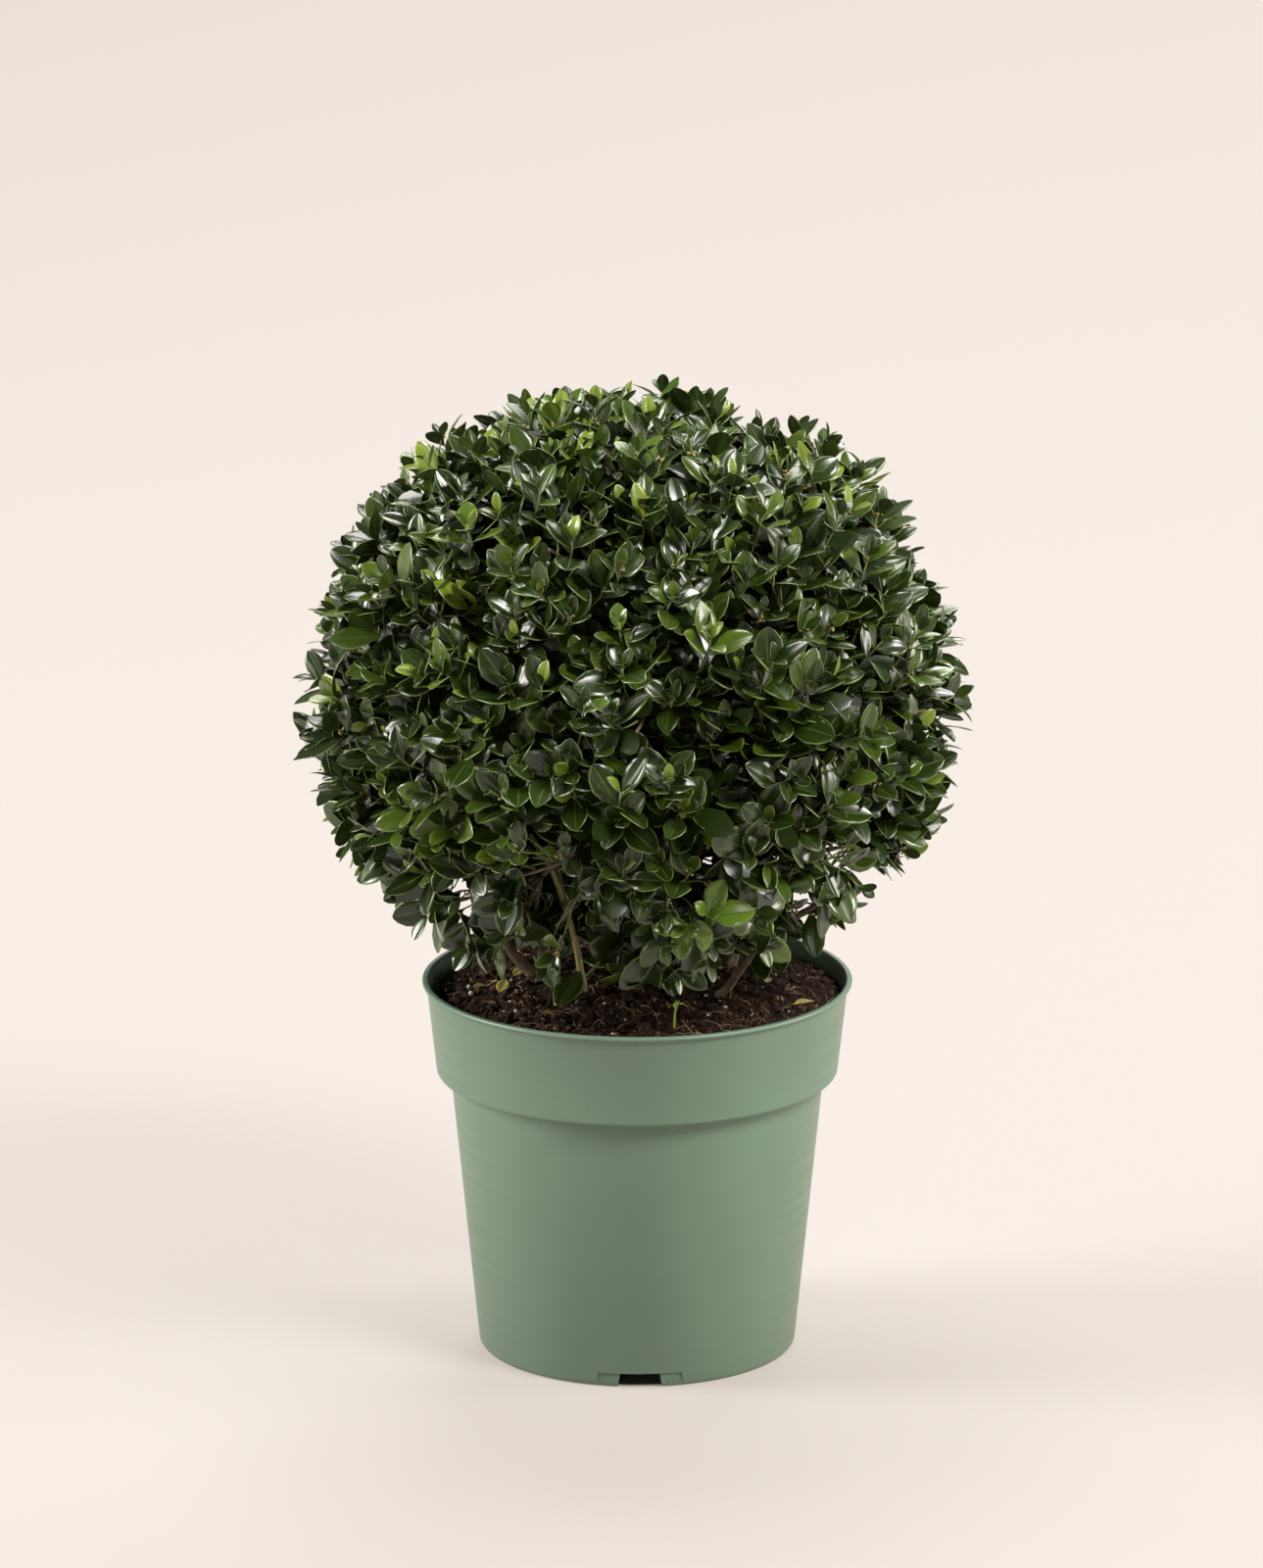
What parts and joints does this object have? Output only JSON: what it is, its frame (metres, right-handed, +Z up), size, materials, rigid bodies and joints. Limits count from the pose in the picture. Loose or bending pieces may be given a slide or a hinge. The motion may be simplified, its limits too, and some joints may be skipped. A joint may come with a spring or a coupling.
{
  "type": "potted clipped ball shrub",
  "caption": "Small-leaved evergreen shrub clipped to a dense ball on short leaning stems, in a tapered nursery pot with a wide collar, rolled lip and foot notches.",
  "frame": {"origin": "centre of the pot's underside, on the ground", "axes": "+Z up along the pot's axis, -Y towards the side the shrub is mostly seen from, +X to that viewer's right"},
  "size_m": [0.4331, 0.4328, 0.6413],
  "materials": {
    "pot_plastic": "satin sage green, moulded",
    "potting_soil": "rough dark brown peat",
    "bark": "thin grey-brown bark",
    "foliage": "glossy dark green leaves"
  },
  "bodies": {
    "root": {"pot": "pot_plastic", "soil": "potting_soil", "stem_left": "bark", "stem_front": "bark", "stem_middle": "bark", "bough_middle_left": "bark", "bough_middle_right": "bark", "stem_right": "bark", "stem_back": "bark", "stem_back_right": "bark", "crown": "foliage"}
  },
  "joints": []
}
